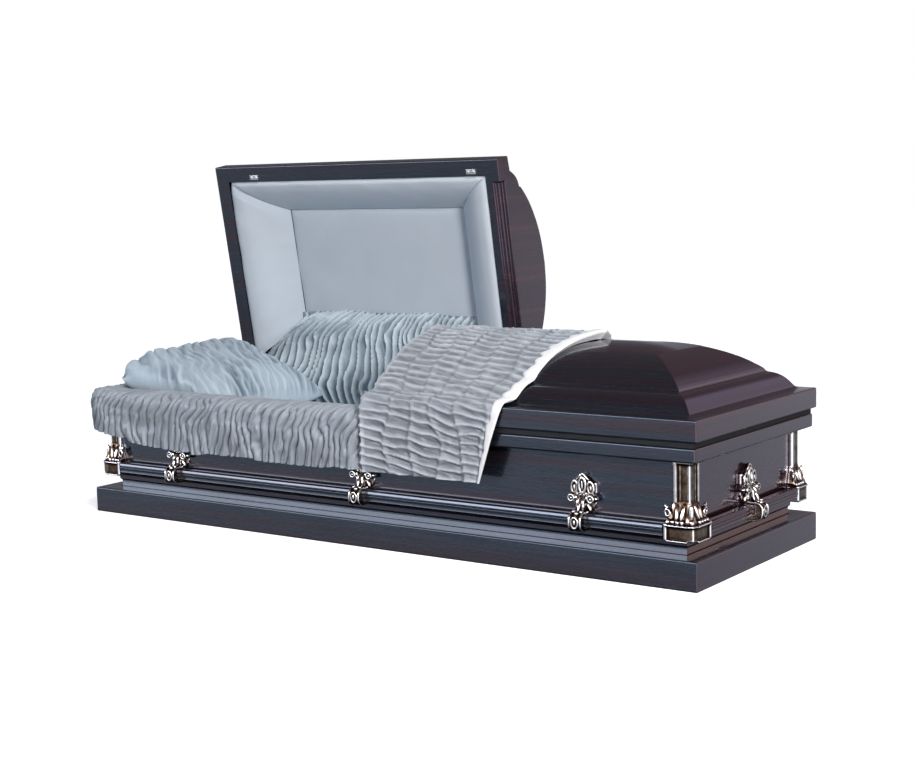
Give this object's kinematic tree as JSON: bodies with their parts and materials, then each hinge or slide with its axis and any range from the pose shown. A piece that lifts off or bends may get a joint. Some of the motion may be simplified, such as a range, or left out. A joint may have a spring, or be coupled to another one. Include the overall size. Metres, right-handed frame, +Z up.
{
  "type": "funeral casket",
  "caption": "Sheet-steel funeral casket with a padded head lid standing open, a shut foot lid under a cloth throw, shirred lining, and swinging bar handles on every side.",
  "frame": {"origin": "centre of the casket's flat underside, in the middle of the base moulding's outline", "axes": "+X from the head end to the foot end, +Y towards the hinge side, +Z up"},
  "size_m": [2.1495, 0.884, 1.0771],
  "materials": {
    "painted_steel": "brushed steel under a clear slate-blue lacquer, glossy",
    "cast_hardware": "polished cast metal, antique silver with brown shadows",
    "lining_cloth": "powder-blue crepe, shirred",
    "throw_cloth": "silvery-blue crepe, shirred, with a white hem",
    "gasket": "matt black"
  },
  "bodies": {
    "casket_body": {"base_moulding": "painted_steel", "body_shell": "painted_steel", "rim_gasket": "gasket", "corner_fitting_near_head": "cast_hardware", "corner_fitting_near_foot": "cast_hardware", "corner_fitting_far_head": "cast_hardware", "corner_fitting_far_foot": "cast_hardware", "ear_near_1": "cast_hardware", "ear_near_2": "cast_hardware", "ear_near_3": "cast_hardware", "ear_far_1": "cast_hardware", "ear_far_2": "cast_hardware", "ear_far_3": "cast_hardware", "ear_head": "cast_hardware", "ear_foot": "cast_hardware", "hinge_1": "cast_hardware", "hinge_2": "cast_hardware", "hinge_3": "cast_hardware", "hinge_4": "cast_hardware", "mattress": "lining_cloth", "pillow": "lining_cloth", "near_lining": "lining_cloth", "far_lining": "lining_cloth", "head_lining": "lining_cloth", "foot_lining": "lining_cloth", "apron": "lining_cloth"},
    "head_lid_body": {"head_lid": "painted_steel", "head_lid_centre_panel": "lining_cloth", "head_lid_roll_near": "lining_cloth", "head_lid_roll_end": "lining_cloth", "head_lid_roll_split": "lining_cloth", "hinge_puff": "lining_cloth", "lid_catch_1": "cast_hardware", "lid_catch_2": "cast_hardware"},
    "foot_lid_body": {"foot_lid": "painted_steel", "foot_lid_centre_panel": "lining_cloth", "foot_lid_roll_near": "lining_cloth", "foot_lid_roll_end": "lining_cloth", "foot_lid_roll_split": "lining_cloth", "foot_lid_roll_hinge": "lining_cloth", "throw": "throw_cloth"},
    "near_handle": {"handle_bar_near": "painted_steel", "handle_arm_near_1": "cast_hardware", "handle_arm_near_2": "cast_hardware", "handle_arm_near_3": "cast_hardware"},
    "far_handle": {"handle_bar_far": "painted_steel", "handle_arm_far_1": "cast_hardware", "handle_arm_far_2": "cast_hardware", "handle_arm_far_3": "cast_hardware"},
    "head_handle": {"handle_bar_head": "painted_steel", "handle_arm_head": "cast_hardware"},
    "foot_handle": {"handle_bar_foot": "painted_steel", "handle_arm_foot": "cast_hardware"}
  },
  "joints": [
    {"name": "head_lid_hinge", "type": "hinge", "parent": "casket_body", "child": "head_lid_body", "pos_m": [0, 0.3555, 0.3672], "axis": [-1, 0, 0], "range_deg": [-80.4, 0], "deforming": ["hinge_puff", "apron", "pillow"]},
    {"name": "foot_lid_hinge", "type": "hinge", "parent": "casket_body", "child": "foot_lid_body", "pos_m": [0, 0.3555, 0.3672], "axis": [-1, 0, 0], "range_deg": [0, 80.4], "deforming": ["throw"]},
    {"name": "near_handle_swing", "type": "hinge", "parent": "casket_body", "child": "near_handle", "pos_m": [0, -0.3245, 0.2], "axis": [-1, 0, 0], "range_deg": [0, 60]},
    {"name": "far_handle_swing", "type": "hinge", "parent": "casket_body", "child": "far_handle", "pos_m": [0, 0.3245, 0.2], "axis": [1, 0, 0], "range_deg": [0, 60]},
    {"name": "head_handle_swing", "type": "hinge", "parent": "casket_body", "child": "head_handle", "pos_m": [-1.023, 0, 0.2], "axis": [0, 1, 0], "range_deg": [0, 60]},
    {"name": "foot_handle_swing", "type": "hinge", "parent": "casket_body", "child": "foot_handle", "pos_m": [1.023, 0, 0.2], "axis": [0, -1, 0], "range_deg": [0, 60]}
  ]
}
